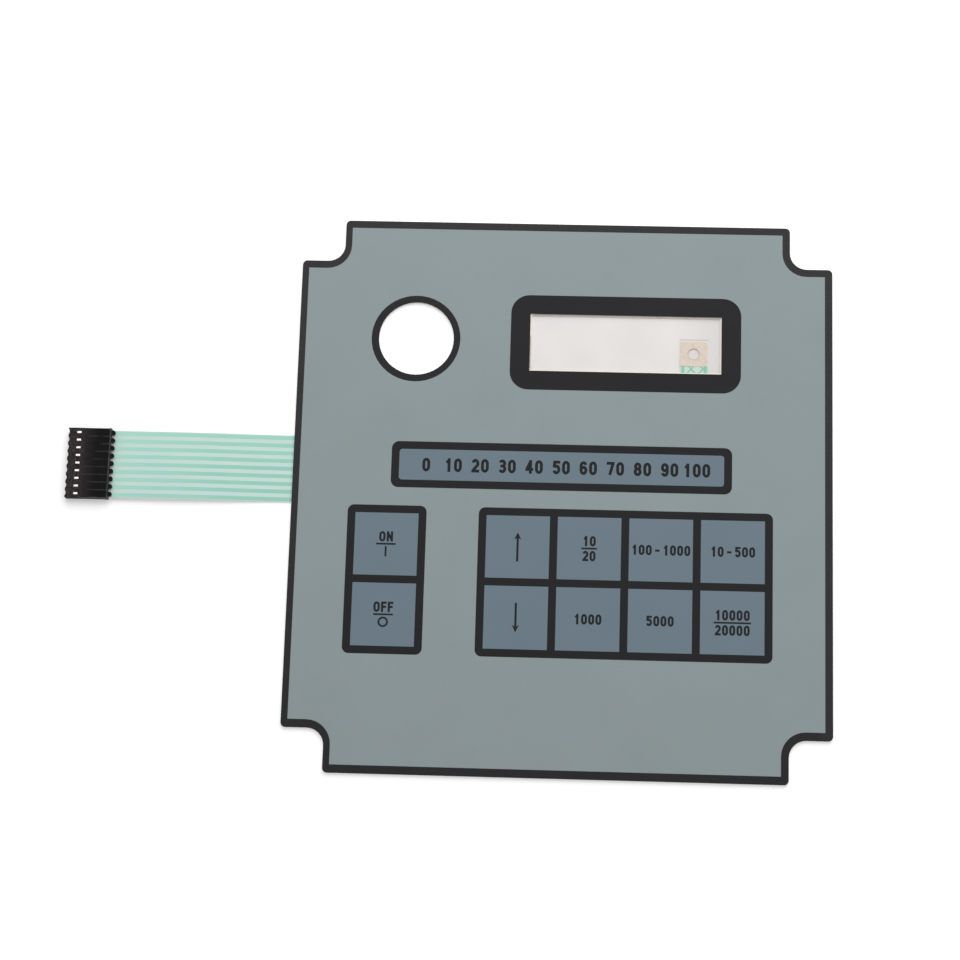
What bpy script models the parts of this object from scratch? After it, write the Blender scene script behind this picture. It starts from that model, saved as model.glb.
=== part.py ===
"""Membrane keypad: a laminate of printed films with a flat tail that ends in a nine-way crimp connector.

Lengths are in metres, +Z is up. The origin is on the rear face, at the centre of the panel. X runs along
the panel's width and Y along its height, as someone who looks at the keys sees them. What is on the panel
is placed across from its middle and down from its upper edge. The films are listed from the rear face up to
the printed front.
"""

import math

import bmesh
import bpy
from mathutils import Vector

MM = 0.001

# Outline of the panel, shared by every film because the laminate is cut in one stroke
PANEL_WIDTH = 173.5 * MM
PANEL_HEIGHT = 182.0 * MM
NOTCH_WIDTH = 13.8 * MM
NOTCH_HEIGHT = 14.0 * MM
NOTCH_RADIUS = 5.5 * MM
CORNER_RADIUS = 1.5 * MM
HOLE_DIAMETER = 24.45 * MM
HOLE_X = -48.4 * MM
HOLE_FROM_TOP = 39.95 * MM

# Thickness of each layer, from the rear face to the front
LINER_THICKNESS = 0.15 * MM
REAR_ADHESIVE_THICKNESS = 0.05 * MM
CIRCUIT_FILM_THICKNESS = 0.125 * MM
CONDUCTOR_THICKNESS = 0.025 * MM
SPACER_THICKNESS = 0.15 * MM
OVERLAY_ADHESIVE_THICKNESS = 0.05 * MM
OVERLAY_THICKNESS = 0.20 * MM
INK_THICKNESS = 0.02 * MM

# Printed border, drawn a little off the cut edge as it is on the real sheet
BORDER_SIDE_WIDTH = 2.29 * MM
BORDER_END_WIDTH = 2.54 * MM
PRINT_SHIFT_X = -0.15 * MM
PRINT_SHIFT_Y = 0.09 * MM
HOLE_RING_WIDTH = 2.29 * MM

# Display window: clear film inside a black frame
WINDOW_WIDTH = 62.2 * MM
WINDOW_HEIGHT = 19.2 * MM
WINDOW_X = 19.78 * MM
WINDOW_FROM_TOP = 40.45 * MM
WINDOW_FRAME_WIDTH = 6.35 * MM
WINDOW_FRAME_RADIUS = 6.0 * MM
WINDOW_RIM = 0.35 * MM

# Title strip: a blue-grey field inside a black frame
TITLE_WIDTH = 104.5 * MM
TITLE_HEIGHT = 10.16 * MM
TITLE_X = -0.18 * MM
TITLE_FROM_TOP = 82.15 * MM
TITLE_LINE = 2.54 * MM
TITLE_FRAME_RADIUS = 2.4 * MM
TITLE_FIELD_RADIUS = 1.0 * MM

# Keys: square fields in two framed groups with a common pitch
KEY_SIZE = 20.32 * MM
KEY_LINE = 2.54 * MM
KEY_FRAME_RADIUS = 2.1 * MM
KEYS_FROM_TOP = 95.76 * MM
LEFT_GROUP_X = -68.4 * MM
RIGHT_GROUP_X = -26.23 * MM
KEY_ROWS = 2
LEFT_COLUMNS = 1
RIGHT_COLUMNS = 4

# Contacts under the keys
PAD_DIAMETER = 9.0 * MM
SPACER_HOLE_DIAMETER = 13.0 * MM
VENT_WIDTH = 1.6 * MM
VIA_DIAMETER = 1.6 * MM
VIA_HOLE_DIAMETER = 3.0 * MM
TRACK_WIDTH = 1.0 * MM
ROW_RISER_INSET = 6.7 * MM
ROW_RISER_PITCH = 4.0 * MM

# Tab of the lower film that stands in the window, with the pad and the crossed marks printed on it
TAB_WIDTH = 9.25 * MM
TAB_FROM_SIDE = 8.755 * MM
TAB_HEIGHT = 11.7 * MM
TAB_HOLE_DIAMETER = 3.6 * MM
TAB_HOLE_FROM_TOP = 4.9 * MM
TAB_PAD_WIDTH = 8.9 * MM
TAB_PAD_HEIGHT = 8.2 * MM
TAB_PAD_MARGIN = 0.8 * MM
TAB_PAD_THICKNESS = 0.10 * MM
TAB_TRACK_FROM_SIDE = 0.95 * MM
CROSS_COUNT = 2
CROSS_LINE_WIDTH = 0.5 * MM
CROSS_LEAN_DEGREES = 40.4
CROSS_HEIGHT = 1.83 * MM
CROSS_FROM_LEFT = 3.64 * MM
CROSS_PITCH = 3.83 * MM
CROSS_GAP = 0.05 * MM

# Tail: nine conductors on the lower film
WAYS = 9
PITCH = 2.54 * MM
TAIL_FROM_TOP = 84.4 * MM
TAIL_LENGTH = 59.4 * MM
TAIL_BOW = 0.5 * MM
TAIL_MARGIN = 0.27 * MM
STRIPE_WIDTH = 1.22 * MM
STRIPE_INSET = 3.0 * MM
TAIL_STEPS = 14

# Connector on the tail's end
HOUSING_DEPTH = 13.9 * MM
HOUSING_SIDE_WALL = 0.07 * MM
HOUSING_THICKNESS = 2.8 * MM
HOUSING_STEP = 0.05 * MM
HOUSING_GRIP_DEPTH = 5.4 * MM
REAR_WALL = 1.0 * MM
REAR_FLANGE_DEPTH = 0.75 * MM
REAR_FLANGE_PROUD = 0.1 * MM
REAR_CHAMFER = 0.12 * MM
CAVITY_WIDTH = 1.9 * MM
CAVITY_HEIGHT = 1.9 * MM
SCALLOP_DEPTH = 0.35 * MM
SCALLOP_RADIUS = 1.25 * MM
SLOT_LENGTH = 1.5 * MM
SLOT_WIDTH = 0.78 * MM
SLOT_FROM_FRONT = 3.45 * MM
GROOVE_WIDTH = 0.15 * MM
GROOVE_DEPTH = 0.12 * MM
TONGUE_WIDTH = 1.5 * MM
TONGUE_LENGTH = 1.3 * MM
TONGUE_THICKNESS = 0.75 * MM
FILM_SLOT_CLEARANCE = 0.1 * MM
FILM_SLOT_HEIGHT = 0.7 * MM
FILM_ENTRY = 5.4 * MM

# Terminal: a two-beam contact in front and two jaws that grip the tail behind
TERMINAL_WIDTH = 1.4 * MM
TERMINAL_HEIGHT = 1.6 * MM
TERMINAL_RECESS = 0.85 * MM
TERMINAL_WEB = 1.0 * MM
PIN_GAP = 0.60 * MM
MOUTH_GAP = 1.0 * MM
JAW_HEIGHT = 0.9 * MM
JAW_CLEARANCE = 0.02 * MM
LANCE_CLEARANCE = 0.08 * MM
LANCE_BELOW_TOP = 0.3 * MM

CIRCLE_STEPS = 48
PAD_STEPS = 24
ARC_STEPS = 8

# Heights of the layers, worked out from the thicknesses
Z_REAR_ADHESIVE = LINER_THICKNESS
Z_LOWER_FILM = Z_REAR_ADHESIVE + REAR_ADHESIVE_THICKNESS
Z_LOWER_INK = Z_LOWER_FILM + CIRCUIT_FILM_THICKNESS
Z_SPACER = Z_LOWER_INK + CONDUCTOR_THICKNESS
Z_UPPER_INK = Z_SPACER + SPACER_THICKNESS
Z_UPPER_FILM = Z_UPPER_INK + CONDUCTOR_THICKNESS
Z_OVERLAY_ADHESIVE = Z_UPPER_FILM + CIRCUIT_FILM_THICKNESS
Z_OVERLAY = Z_OVERLAY_ADHESIVE + OVERLAY_ADHESIVE_THICKNESS
Z_BASE_INK = Z_OVERLAY + OVERLAY_THICKNESS
Z_TOP_INK = Z_BASE_INK + INK_THICKNESS

# Places worked out from the sizes above
PANEL_LEFT = -PANEL_WIDTH / 2
PANEL_TOP = PANEL_HEIGHT / 2
HOLE_Y = PANEL_TOP - HOLE_FROM_TOP
WINDOW_Y = PANEL_TOP - WINDOW_FROM_TOP
TITLE_Y = PANEL_TOP - TITLE_FROM_TOP
KEYS_TOP = PANEL_TOP - KEYS_FROM_TOP
TAIL_Y = PANEL_TOP - TAIL_FROM_TOP
HOUSING_REAR = PANEL_LEFT - TAIL_LENGTH
HOUSING_FRONT = HOUSING_REAR - HOUSING_DEPTH
HOUSING_WIDTH = WAYS * PITCH + 2 * HOUSING_SIDE_WALL
TAIL_END = HOUSING_REAR - FILM_ENTRY
TAIL_WIDTH = (WAYS - 1) * PITCH + STRIPE_WIDTH + 2 * TAIL_MARGIN
HOUSING_MIDDLE = HOUSING_THICKNESS / 2
GRIP_THICKNESS = CIRCUIT_FILM_THICKNESS + CONDUCTOR_THICKNESS
TAIL_RISE = HOUSING_MIDDLE - GRIP_THICKNESS / 2 - Z_LOWER_FILM
KEY_PITCH = KEY_SIZE + KEY_LINE
WINDOW_BOTTOM = WINDOW_Y - WINDOW_HEIGHT / 2
WINDOW_RIGHT = WINDOW_X + WINDOW_WIDTH / 2
TAB_X = WINDOW_RIGHT - TAB_FROM_SIDE
TAB_LEFT = TAB_X - TAB_WIDTH / 2
TAB_RIGHT = TAB_X + TAB_WIDTH / 2
TAB_TOP = WINDOW_BOTTOM + TAB_HEIGHT
TAB_HOLE_Y = TAB_TOP - TAB_HOLE_FROM_TOP
TAB_PAD_X = TAB_LEFT + TAB_PAD_WIDTH / 2
TAB_PAD_TOP = TAB_TOP - TAB_PAD_MARGIN
TAB_PAD_BOTTOM = TAB_PAD_TOP - TAB_PAD_HEIGHT


def clear_scene():
    for thing in list(bpy.data.objects):
        bpy.data.objects.remove(thing, do_unlink=True)


def from_screen_colour(value):
    """The linear value that a shader takes for a colour component from 0 to 255, as a screen shows it."""
    share = value / 255
    if share <= 0.04045:
        return share / 12.92
    return ((share + 0.055) / 1.055) ** 2.4


def make_material(name, screen_colour, roughness, metallic=0.0, alpha=1.0):
    material = bpy.data.materials.new(name)
    material.use_nodes = True
    shader = material.node_tree.nodes["Principled BSDF"]
    linear = [from_screen_colour(value) for value in screen_colour]
    shader.inputs["Base Color"].default_value = (*linear, 1.0)
    shader.inputs["Roughness"].default_value = roughness
    shader.inputs["Metallic"].default_value = metallic
    shader.inputs["Alpha"].default_value = alpha
    material.diffuse_color = (*linear, alpha)
    return material


# Outlines in the XY plane, as lists of points that run anticlockwise


def arc(centre_x, centre_y, radius, start_degrees, end_degrees, steps=ARC_STEPS):
    points = []
    for index in range(steps + 1):
        turn = math.radians(start_degrees + (end_degrees - start_degrees) * index / steps)
        points.append((centre_x + radius * math.cos(turn), centre_y + radius * math.sin(turn)))
    return points


def circle(centre_x, centre_y, diameter, steps=CIRCLE_STEPS):
    return arc(centre_x, centre_y, diameter / 2, 0, 360, steps)[:-1]


def rectangle(left, right, bottom, top):
    return [(left, bottom), (right, bottom), (right, top), (left, top)]


def rounded_rectangle(left, right, bottom, top, radius):
    return (
        arc(right - radius, bottom + radius, radius, -90, 0)
        + arc(right - radius, top - radius, radius, 0, 90)
        + arc(left + radius, top - radius, radius, 90, 180)
        + arc(left + radius, bottom + radius, radius, 180, 270)
    )


def notched_quarter(inset_x, inset_y):
    """The upper right quarter of the panel's outline, from its right side to its top, moved in by the insets."""
    half_width = PANEL_WIDTH / 2 - inset_x
    half_height = PANEL_HEIGHT / 2 - inset_y
    inner_x = half_width - NOTCH_WIDTH
    inner_y = half_height - NOTCH_HEIGHT
    corner = CORNER_RADIUS - inset_x
    notch = NOTCH_RADIUS + inset_x
    notch_x = inner_x + notch
    notch_y = inner_y + notch
    points = [(half_width, inner_y)]
    if corner > 0:
        points = arc(half_width - corner, inner_y - corner, corner, 0, 90)
    points += arc(notch_x, notch_y, notch, 270, 180)
    if corner > 0:
        points += arc(inner_x - corner, half_height - corner, corner, 0, 90)
    else:
        points.append((inner_x, half_height))
    return points


def panel_outline(inset_x=0.0, inset_y=0.0, shift_x=0.0, shift_y=0.0):
    """The whole outline: a rectangle with a notch at each corner, and a fillet in each notch."""
    quarter = notched_quarter(inset_x, inset_y)
    points = list(quarter)
    points += [(-x, y) for x, y in reversed(quarter)]
    points += [(-x, -y) for x, y in quarter]
    points += [(x, -y) for x, y in reversed(quarter)]
    return [(x + shift_x, y + shift_y) for x, y in points]


def panel_hole():
    return circle(HOLE_X, HOLE_Y, HOLE_DIAMETER)


def window_outline(inset=0.0):
    half = WINDOW_WIDTH / 2 - inset
    bottom = WINDOW_BOTTOM + inset
    top = WINDOW_BOTTOM + WINDOW_HEIGHT - inset
    return rectangle(WINDOW_X - half, WINDOW_X + half, bottom, top)


def track_outline(route, width):
    """A band of constant width along a route of straight runs, with mitred turns."""
    left_side = []
    right_side = []
    for index, point in enumerate(route):
        here = Vector(point)
        before = Vector(route[max(index - 1, 0)])
        after = Vector(route[min(index + 1, len(route) - 1)])
        incoming = (here - before).normalized() if index > 0 else (after - here).normalized()
        outgoing = (after - here).normalized() if index < len(route) - 1 else incoming
        across = Vector((-incoming.y - outgoing.y, incoming.x + outgoing.x)).normalized()
        reach = width / 2 / across.dot(Vector((-incoming.y, incoming.x)))
        left_side.append(tuple(here + across * reach))
        right_side.append(tuple(here - across * reach))
    return right_side + left_side[::-1]


# Solids


def flat_body(outline, holes, low, high):
    """A plate between two heights with the given outline and holes."""
    body = bmesh.new()
    edges = []
    for loop in [outline, *holes]:
        corners = [body.verts.new((x, y, low)) for x, y in loop]
        for index, corner in enumerate(corners):
            edges.append(body.edges.new((corner, corners[(index + 1) % len(corners)])))
    bmesh.ops.triangle_fill(body, edges=edges, use_beauty=True, normal=(0, 0, -1))
    lifted = bmesh.ops.extrude_face_region(body, geom=body.faces[:])
    top = [item for item in lifted["geom"] if isinstance(item, bmesh.types.BMVert)]
    bmesh.ops.translate(body, verts=top, vec=(0, 0, high - low))
    bmesh.ops.recalc_face_normals(body, faces=body.faces[:])
    return body


def side_body(profile, low_y, high_y):
    """A bar along Y with the given outline in the XZ plane."""
    body = bmesh.new()
    corners = [body.verts.new((x, low_y, z)) for x, z in profile]
    face = body.faces.new(corners)
    lifted = bmesh.ops.extrude_face_region(body, geom=[face])
    far = [item for item in lifted["geom"] if isinstance(item, bmesh.types.BMVert)]
    bmesh.ops.translate(body, verts=far, vec=(0, high_y - low_y, 0))
    bmesh.ops.recalc_face_normals(body, faces=body.faces[:])
    return body


def joined(bodies):
    """Several bodies in one mesh. They are used as one cutter or added as one set."""
    whole = bmesh.new()
    for body in bodies:
        mesh = bpy.data.meshes.new("joined")
        body.to_mesh(mesh)
        body.free()
        whole.from_mesh(mesh)
        bpy.data.meshes.remove(mesh)
    return whole


def as_object(name, body):
    mesh = bpy.data.meshes.new(name)
    body.to_mesh(mesh)
    body.free()
    made = bpy.data.objects.new(name, mesh)
    bpy.context.scene.collection.objects.link(made)
    return made


def combined(body, other, operation):
    """The body with the other one added to it or cut from it."""
    base = as_object("base", body)
    tool = as_object("tool", other)
    change = base.modifiers.new("change", "BOOLEAN")
    change.operation = operation
    change.object = tool
    graph = bpy.context.evaluated_depsgraph_get()
    mesh = bpy.data.meshes.new_from_object(base.evaluated_get(graph))
    result = bmesh.new()
    result.from_mesh(mesh)
    for helper in (base, tool):
        data = helper.data
        bpy.data.objects.remove(helper)
        bpy.data.meshes.remove(data)
    bpy.data.meshes.remove(mesh)
    return result


def tail_lift(x):
    """How far the tail has risen at x, on its way in a low arch from the panel up to the connector."""
    share = min(max((PANEL_LEFT - x) / TAIL_LENGTH, 0.0), 1.0)
    arch = (4 * share * (1 - share)) ** 2
    return TAIL_RISE * share * share * (3 - 2 * share) + TAIL_BOW * arch


def bend_tail(body):
    """Cuts a flat body across the tail at even steps and lifts it along the tail's curve."""
    for index in range(TAIL_STEPS + 1):
        x = PANEL_LEFT - TAIL_LENGTH * index / TAIL_STEPS
        everything = body.verts[:] + body.edges[:] + body.faces[:]
        bmesh.ops.bisect_plane(body, geom=everything, dist=1e-7, plane_co=(x, 0, 0), plane_no=(1, 0, 0))
    for corner in body.verts:
        corner.co.z += tail_lift(corner.co.x)
    return body


def finish(name, body, material):
    node = as_object(name, body)
    node.data.materials.append(material)
    return node


# Films of the panel


def plain_film(name, low, thickness, material, window_inset=None):
    holes = [panel_hole()]
    if window_inset is not None:
        holes.append(window_outline(window_inset))
    return finish(name, flat_body(panel_outline(), holes, low, low + thickness), material)


def lower_film_window():
    """The window of the lower film, with the tab that stands up from its lower edge."""
    left, right, bottom, top = window_sides(WINDOW_RIM)
    return [
        (left, bottom),
        (TAB_LEFT, bottom),
        (TAB_LEFT, TAB_TOP),
        (TAB_RIGHT, TAB_TOP),
        (TAB_RIGHT, bottom),
        (right, bottom),
        (right, top),
        (left, top),
    ]


def window_sides(inset):
    corners = window_outline(inset)
    return corners[0][0], corners[1][0], corners[0][1], corners[2][1]


def lower_circuit_film(material):
    """The film that carries the conductors. Its tail is cut from the same sheet."""
    low = Z_LOWER_FILM
    high = Z_LOWER_INK
    panel = flat_body(panel_outline(), [panel_hole(), lower_film_window(), tab_hole()], low, high)
    half = TAIL_WIDTH / 2
    root = PANEL_LEFT + STRIPE_INSET
    tail = flat_body(rectangle(TAIL_END, root, TAIL_Y - half, TAIL_Y + half), [], low, high)
    return finish("lower_circuit_film", bend_tail(combined(panel, tail, "UNION")), material)


def circuit_spacer(material):
    """The film between the two circuits, with a hole under each key and vents between the holes."""
    low = Z_SPACER
    high = Z_UPPER_INK
    body = flat_body(panel_outline(), [panel_hole(), window_outline(WINDOW_RIM)], low, high)
    below = low - SPACER_THICKNESS
    above = high + SPACER_THICKNESS
    holes = []
    for x, y in key_centres():
        holes.append(flat_body(circle(x, y, SPACER_HOLE_DIAMETER, PAD_STEPS), [], below, above))
    for x, y in row_risers():
        holes.append(flat_body(circle(x, y, VIA_HOLE_DIAMETER, PAD_STEPS), [], below, above))
    body = combined(body, joined(holes), "DIFFERENCE")
    vents = []
    half = VENT_WIDTH / 2
    columns = key_columns()
    for y in key_rows():
        vent = rectangle(columns[0], columns[-1], y - half, y + half)
        vents.append(flat_body(vent, [], below, above))
    return finish("circuit_spacer", combined(body, joined(vents), "DIFFERENCE"), material)


# Places of the keys


def group_columns(left_side, count):
    first = left_side + KEY_LINE + KEY_SIZE / 2
    return [first + index * KEY_PITCH for index in range(count)]


def key_columns():
    return group_columns(LEFT_GROUP_X, LEFT_COLUMNS) + group_columns(RIGHT_GROUP_X, RIGHT_COLUMNS)


def key_rows():
    first = KEYS_TOP - KEY_LINE - KEY_SIZE / 2
    return [first - index * KEY_PITCH for index in range(KEY_ROWS)]


def key_centres():
    return [(x, y) for y in key_rows() for x in key_columns()]


# Conductors


def way_y(way):
    """The middle of one conductor on the tail, counted from 0 at the lowest."""
    return TAIL_Y + (way - (WAYS - 1) / 2) * PITCH


def row_risers():
    """Where each row's conductor passes up through the spacer, left of the keys."""
    first_way = len(key_columns())
    risers = []
    for row in range(KEY_ROWS):
        x = PANEL_LEFT + ROW_RISER_INSET + (KEY_ROWS - 1 - row) * ROW_RISER_PITCH
        risers.append((x, way_y(first_way + row)))
    return risers


def tab_tracks():
    """The two sides of the tab, where the last two conductors end."""
    return [TAB_RIGHT - TAB_TRACK_FROM_SIDE, TAB_LEFT + TAB_TRACK_FROM_SIDE]


def conductor_route(way):
    """The points of one conductor on the lower film, from the panel's edge inwards, and its pads."""
    y = way_y(way)
    start = (PANEL_LEFT + STRIPE_INSET / 2, y)
    columns = key_columns()
    rows = key_rows()
    if way < len(columns):
        x = columns[way]
        return [start, (x, y), (x, rows[-1])], [(x, row) for row in rows]
    row = way - len(columns)
    if row < len(rows):
        return [start, row_risers()[row]], []
    x = tab_tracks()[row - len(rows)]
    return [start, (x, y), (x, TAB_PAD_BOTTOM)], []


def row_route(row):
    """The points of one row's conductor on the upper film, from its riser to its last key."""
    riser = row_risers()[row]
    y = key_rows()[row]
    return [riser, (riser[0], y), (key_columns()[-1], y)]


def conductor(way, material):
    """One printed conductor: its stripe on the tail, its track and its contact pads."""
    low = Z_LOWER_INK
    high = Z_SPACER
    y = way_y(way)
    half = STRIPE_WIDTH / 2
    route, pads = conductor_route(way)
    body = flat_body(rectangle(TAIL_END, PANEL_LEFT + STRIPE_INSET, y - half, y + half), [], low, high)
    body = combined(body, flat_body(track_outline(route, TRACK_WIDTH), [], low, high), "UNION")
    if pads:
        discs = [flat_body(circle(x, row, PAD_DIAMETER, PAD_STEPS), [], low, high) for x, row in pads]
        body = combined(body, joined(discs), "UNION")
    row = way - len(key_columns())
    if 0 <= row < KEY_ROWS:
        body = combined(body, upper_conductor(row), "UNION")
    return finish(f"conductor_{way + 1}", bend_tail(body), material)


def upper_conductor(row):
    """The part of a row's conductor that is printed under the upper film, with the drop that feeds it."""
    low = Z_UPPER_INK
    high = Z_UPPER_FILM
    body = flat_body(track_outline(row_route(row), TRACK_WIDTH), [], low, high)
    y = key_rows()[row]
    discs = [flat_body(circle(x, y, PAD_DIAMETER, PAD_STEPS), [], low, high) for x in key_columns()]
    body = combined(body, joined(discs), "UNION")
    x, y = row_risers()[row]
    return combined(body, flat_body(circle(x, y, VIA_DIAMETER, PAD_STEPS), [], Z_LOWER_INK, high), "UNION")


# Things on the tab


def tab_hole():
    """The round hole through the tab and its pad."""
    return circle(TAB_PAD_X, TAB_HOLE_Y, TAB_HOLE_DIAMETER, PAD_STEPS)


def tab_pad(material):
    outline = rectangle(TAB_LEFT, TAB_LEFT + TAB_PAD_WIDTH, TAB_PAD_BOTTOM, TAB_PAD_TOP)
    body = flat_body(outline, [tab_hole()], Z_LOWER_INK, Z_LOWER_INK + TAB_PAD_THICKNESS)
    return finish("tab_pad", body, material)


def sideways(rise):
    """How far a crossed stroke runs sideways over the given rise."""
    return rise * math.tan(math.radians(CROSS_LEAN_DEGREES))


def crossed_stroke(x, side):
    """A slanted stroke through the crossing at x, from the window's edge to the pad. Side is 1 or -1."""
    half = CROSS_LINE_WIDTH / 2 / math.cos(math.radians(CROSS_LEAN_DEGREES))
    foot = x - side * sideways(CROSS_HEIGHT)
    head = x + side * sideways(TAB_PAD_BOTTOM - WINDOW_BOTTOM - CROSS_HEIGHT)
    return [
        (foot - half, WINDOW_BOTTOM),
        (foot + half, WINDOW_BOTTOM),
        (head + half, TAB_PAD_BOTTOM),
        (head - half, TAB_PAD_BOTTOM),
    ]


def tab_crossed_marks(material):
    """Crossed strokes between the two conductors on the tab, joined by a rail under the window's rim."""
    low = Z_LOWER_INK
    high = Z_SPACER
    crossings = [TAB_LEFT + CROSS_FROM_LEFT + index * CROSS_PITCH for index in range(CROSS_COUNT)]
    rail_left = crossings[0] - sideways(CROSS_HEIGHT)
    rail = rectangle(rail_left, TAB_RIGHT, WINDOW_BOTTOM, WINDOW_BOTTOM + WINDOW_RIM)
    body = flat_body(rail, [], low, high)
    for x in crossings:
        for side in (1, -1):
            body = combined(body, flat_body(crossed_stroke(x, side), [], low, high), "UNION")
    limit = tab_tracks()[0] - TRACK_WIDTH / 2 - CROSS_GAP
    right_part = rectangle(limit, WINDOW_RIGHT, WINDOW_BOTTOM - TAB_HEIGHT, TAB_TOP)
    cutter = flat_body(right_part, [], Z_LOWER_FILM, Z_UPPER_INK)
    return finish("tab_crossed_marks", combined(body, cutter, "DIFFERENCE"), material)


# Print on the overlay


def print_shape(name, outline, holes, material, low=Z_TOP_INK):
    return finish(name, flat_body(outline, holes, low, low + INK_THICKNESS), material)


def key_frame(name, left_side, columns, material):
    centres = group_columns(left_side, columns)
    half = KEY_SIZE / 2
    openings = []
    for y in key_rows():
        for x in centres:
            openings.append(rectangle(x - half, x + half, y - half, y + half))
    right_side = centres[-1] + half + KEY_LINE
    bottom = key_rows()[-1] - half - KEY_LINE
    outline = rounded_rectangle(left_side, right_side, bottom, KEYS_TOP, KEY_FRAME_RADIUS)
    return print_shape(name, outline, openings, material)


def border_print(material):
    inner = panel_outline(BORDER_SIDE_WIDTH, BORDER_END_WIDTH, PRINT_SHIFT_X, PRINT_SHIFT_Y)
    return print_shape("print_border", panel_outline(), [inner], material)


def hole_ring_print(material):
    outer = circle(HOLE_X + PRINT_SHIFT_X, HOLE_Y, HOLE_DIAMETER + 2 * HOLE_RING_WIDTH)
    return print_shape("print_hole_ring", outer, [panel_hole()], material)


def window_frame_print(material):
    left, right, bottom, top = window_sides(-WINDOW_FRAME_WIDTH)
    outer = rounded_rectangle(left, right, bottom, top, WINDOW_FRAME_RADIUS)
    return print_shape("print_window_frame", outer, [window_outline()], material)


def title_strip(black, blue):
    left = TITLE_X - TITLE_WIDTH / 2
    right = TITLE_X + TITLE_WIDTH / 2
    bottom = TITLE_Y - TITLE_HEIGHT / 2
    top = TITLE_Y + TITLE_HEIGHT / 2
    field = rounded_rectangle(left, right, bottom, top, TITLE_FIELD_RADIUS)
    line = TITLE_LINE
    outer = rounded_rectangle(left - line, right + line, bottom - line, top + line, TITLE_FRAME_RADIUS)
    print_shape("print_title_frame", outer, [field], black)
    print_shape("print_title_field", field, [], blue)


def key_prints(material):
    half = KEY_SIZE / 2
    for number, (x, y) in enumerate(key_centres(), start=1):
        field = rectangle(x - half, x + half, y - half, y + half)
        print_shape(f"key_field_{number}", field, [], material)


def front_print(grey, black, blue):
    print_shape("print_grey_field", panel_outline(), [panel_hole(), window_outline()], grey, Z_BASE_INK)
    border_print(black)
    hole_ring_print(black)
    window_frame_print(black)
    title_strip(black, blue)
    key_frame("print_key_frame_left", LEFT_GROUP_X, LEFT_COLUMNS, black)
    key_frame("print_key_frame_right", RIGHT_GROUP_X, RIGHT_COLUMNS, black)
    key_prints(blue)


# Connector


def housing_profile():
    """The housing from the side: a thick front, a lower grip zone and a flange with a chamfer at the rear."""
    top = HOUSING_THICKNESS
    grip_rear = HOUSING_REAR - REAR_FLANGE_DEPTH
    grip_front = HOUSING_FRONT + HOUSING_GRIP_DEPTH
    return [
        (HOUSING_FRONT, 0),
        (HOUSING_REAR, 0),
        (HOUSING_REAR, top - REAR_CHAMFER),
        (HOUSING_REAR - REAR_CHAMFER, top),
        (grip_rear, top),
        (grip_rear, top - HOUSING_STEP),
        (grip_front + HOUSING_STEP, top - HOUSING_STEP),
        (grip_front, top),
        (HOUSING_FRONT, top),
    ]


def rear_flange():
    """The part of the flange that stands out past the sides of the housing."""
    half = HOUSING_WIDTH / 2 + REAR_FLANGE_PROUD
    left = HOUSING_REAR - REAR_FLANGE_DEPTH
    outline = rectangle(left, HOUSING_REAR, TAIL_Y - half, TAIL_Y + half)
    return flat_body(outline, [], 0, HOUSING_THICKNESS - REAR_CHAMFER)


def tongue(y):
    """A rounded tongue that stands out over the tail behind the housing."""
    half = TONGUE_WIDTH / 2
    left = HOUSING_REAR - REAR_WALL / 2
    centre = HOUSING_REAR + TONGUE_LENGTH - half
    outline = [(left, y - half)] + arc(centre, y, half, -90, 90, 2 * ARC_STEPS) + [(left, y + half)]
    low = HOUSING_MIDDLE + FILM_SLOT_HEIGHT / 2
    return flat_body(outline, [], low, low + TONGUE_THICKNESS)


def cavity(y):
    half = CAVITY_WIDTH / 2
    outline = rectangle(HOUSING_FRONT - REAR_WALL, HOUSING_REAR - REAR_WALL, y - half, y + half)
    low = HOUSING_MIDDLE - CAVITY_HEIGHT / 2
    return flat_body(outline, [], low, low + CAVITY_HEIGHT)


def scallop(y):
    """The hollow that leads a pin into each cavity and gives the front edge its waves."""
    centre_x = HOUSING_FRONT - SCALLOP_RADIUS + SCALLOP_DEPTH
    outline = circle(centre_x, y, 2 * SCALLOP_RADIUS, PAD_STEPS)
    return flat_body(outline, [], -REAR_WALL, HOUSING_THICKNESS + REAR_WALL)


def locking_slot(y):
    centre_x = HOUSING_FRONT + SLOT_FROM_FRONT
    half = SLOT_WIDTH / 2
    outline = rectangle(centre_x - SLOT_LENGTH / 2, centre_x + SLOT_LENGTH / 2, y - half, y + half)
    return flat_body(outline, [], HOUSING_MIDDLE, HOUSING_THICKNESS + REAR_WALL)


def groove(y):
    half = GROOVE_WIDTH / 2
    left = HOUSING_FRONT + HOUSING_GRIP_DEPTH + HOUSING_STEP
    right = HOUSING_REAR - REAR_FLANGE_DEPTH
    top = HOUSING_THICKNESS - HOUSING_STEP
    outline = rectangle(left, right, y - half, y + half)
    return flat_body(outline, [], top - GROOVE_DEPTH, top + GROOVE_DEPTH / 2)


def film_slot():
    """The slot in the rear wall that the tail goes into."""
    half = TAIL_WIDTH / 2 + FILM_SLOT_CLEARANCE
    inner_end = TAIL_END - FILM_SLOT_CLEARANCE
    outline = rectangle(inner_end, HOUSING_REAR + REAR_WALL, TAIL_Y - half, TAIL_Y + half)
    low = HOUSING_MIDDLE - FILM_SLOT_HEIGHT / 2
    return flat_body(outline, [], low, low + FILM_SLOT_HEIGHT)


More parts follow.
